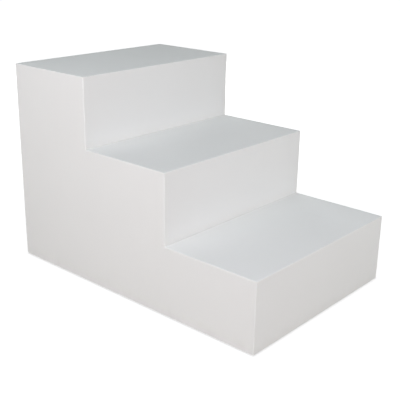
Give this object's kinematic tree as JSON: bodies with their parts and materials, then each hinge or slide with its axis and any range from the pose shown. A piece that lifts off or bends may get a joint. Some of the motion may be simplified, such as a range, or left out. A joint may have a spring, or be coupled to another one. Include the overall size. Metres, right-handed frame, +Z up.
{
  "type": "stage steps",
  "caption": "Free-standing white box steps for a stage: mitred lacquered boards on a timber frame, open underneath and at the back.",
  "frame": {"origin": "centre of the footprint on the floor, under the glides", "axes": "+X across the steps to the right of someone climbing them, +Y from the foot of the steps to their back, +Z up"},
  "size_m": [0.6, 0.9, 0.6],
  "materials": {
    "white_lacquered_board": "fibreboard, filled and sprayed with satin white lacquer",
    "birch_plywood": "sanded, unpainted",
    "planed_softwood": "planed, unpainted",
    "white_nylon": "moulded, satin"
  },
  "bodies": {
    "root": {"base_rail_left": "planed_softwood", "base_rail_right": "planed_softwood", "centre_stringer": "birch_plywood", "front_base_rail": "planed_softwood", "glide_left_1": "white_nylon", "glide_left_2": "white_nylon", "glide_left_3": "white_nylon", "glide_right_1": "white_nylon", "glide_right_2": "white_nylon", "glide_right_3": "white_nylon", "glue_block_lower_1": "planed_softwood", "glue_block_lower_2": "planed_softwood", "glue_block_lower_3": "planed_softwood", "glue_block_lower_4": "planed_softwood", "glue_block_middle_1": "planed_softwood", "glue_block_middle_2": "planed_softwood", "glue_block_middle_3": "planed_softwood", "glue_block_middle_4": "planed_softwood", "glue_block_top_1": "planed_softwood", "glue_block_top_2": "planed_softwood", "glue_block_top_3": "planed_softwood", "glue_block_top_4": "planed_softwood", "rear_bottom_rail": "planed_softwood", "rear_stile_left": "planed_softwood", "rear_stile_right": "planed_softwood", "rear_top_rail": "planed_softwood", "riser_cleat_lower_left": "planed_softwood", "riser_cleat_lower_right": "planed_softwood", "riser_cleat_middle_left": "planed_softwood", "riser_cleat_middle_right": "planed_softwood", "riser_cleat_top_left": "planed_softwood", "riser_cleat_top_right": "planed_softwood", "riser_lower": "white_lacquered_board", "riser_middle": "white_lacquered_board", "riser_top": "white_lacquered_board", "side_panel_left": "white_lacquered_board", "side_panel_right": "white_lacquered_board", "tread_bearer_lower": "planed_softwood", "tread_bearer_middle": "planed_softwood", "tread_cleat_lower_left": "planed_softwood", "tread_cleat_lower_right": "planed_softwood", "tread_cleat_middle_left": "planed_softwood", "tread_cleat_middle_right": "planed_softwood", "tread_cleat_top_left": "planed_softwood", "tread_cleat_top_right": "planed_softwood", "tread_lower": "white_lacquered_board", "tread_middle": "white_lacquered_board", "tread_top": "white_lacquered_board"}
  },
  "joints": []
}
